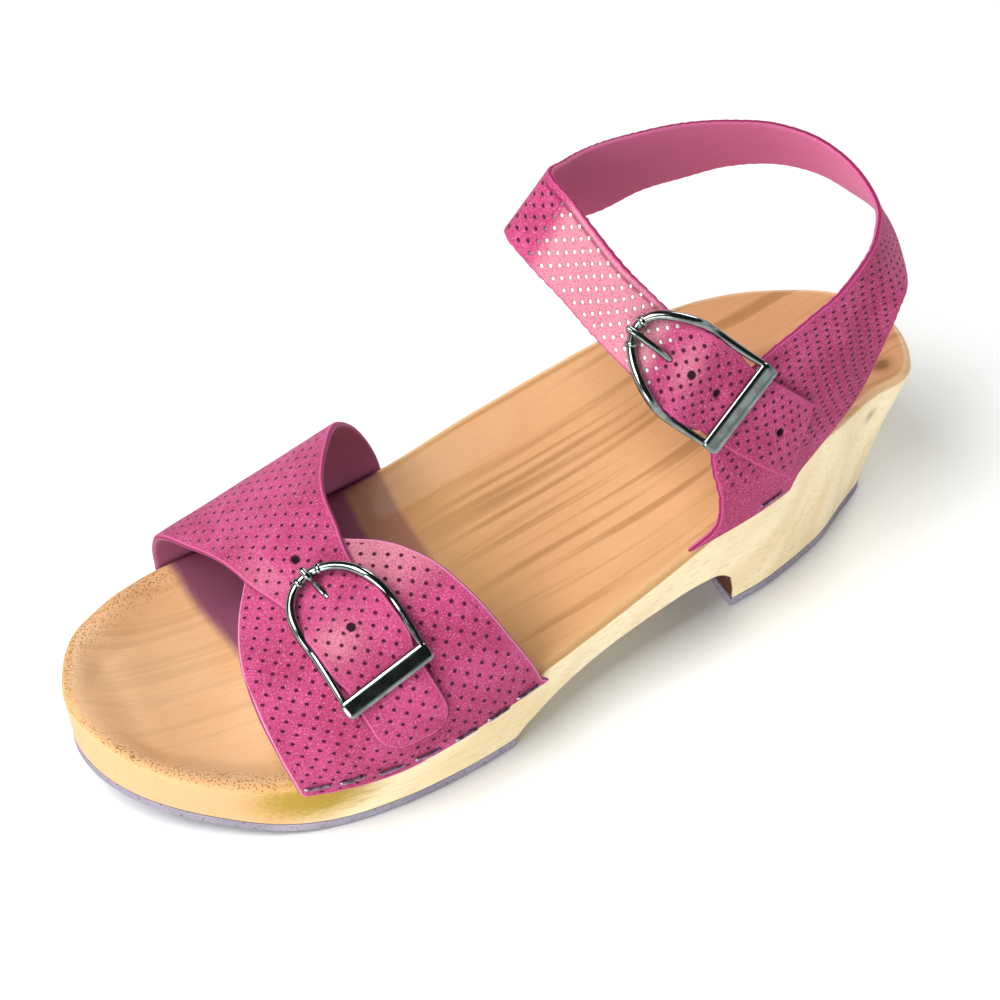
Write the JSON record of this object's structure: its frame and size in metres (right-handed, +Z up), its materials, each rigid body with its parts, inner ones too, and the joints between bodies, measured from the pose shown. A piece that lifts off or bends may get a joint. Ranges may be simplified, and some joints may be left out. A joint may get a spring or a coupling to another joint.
{
  "type": "wooden sole sandal",
  "caption": "Wooden sole sandal with a block heel, a crossed suede vamp stapled to the sole and an ankle strap, both fastened by buckles.",
  "frame": {"origin": "on the floor under the middle of the heel, on the line between heel and toe", "axes": "+X from heel to toe, +Y towards the outer side of the foot, where the buckles are, +Z up"},
  "size_m": [0.2512, 0.0974, 0.128],
  "materials": {
    "carved_wood": "satin",
    "grey_rubber": "matte",
    "pink_suede": "matte",
    "nickel_plated_steel": "polished"
  },
  "bodies": {
    "root": {"wooden_sole": "carved_wood", "forefoot_outsole": "grey_rubber", "heel_lift": "grey_rubber", "vamp_panel": "pink_suede", "vamp_strap": "pink_suede", "ankle_strap": "pink_suede", "ankle_buckle_tab": "pink_suede", "vamp_buckle": "nickel_plated_steel", "ankle_buckle": "nickel_plated_steel", "vamp_prong": "nickel_plated_steel", "ankle_prong": "nickel_plated_steel", "vamp_staple_1": "nickel_plated_steel", "vamp_staple_2": "nickel_plated_steel", "vamp_staple_3": "nickel_plated_steel", "vamp_staple_4": "nickel_plated_steel", "vamp_staple_5": "nickel_plated_steel", "vamp_staple_6": "nickel_plated_steel", "vamp_staple_7": "nickel_plated_steel", "quarter_staple": "nickel_plated_steel"}
  },
  "joints": []
}
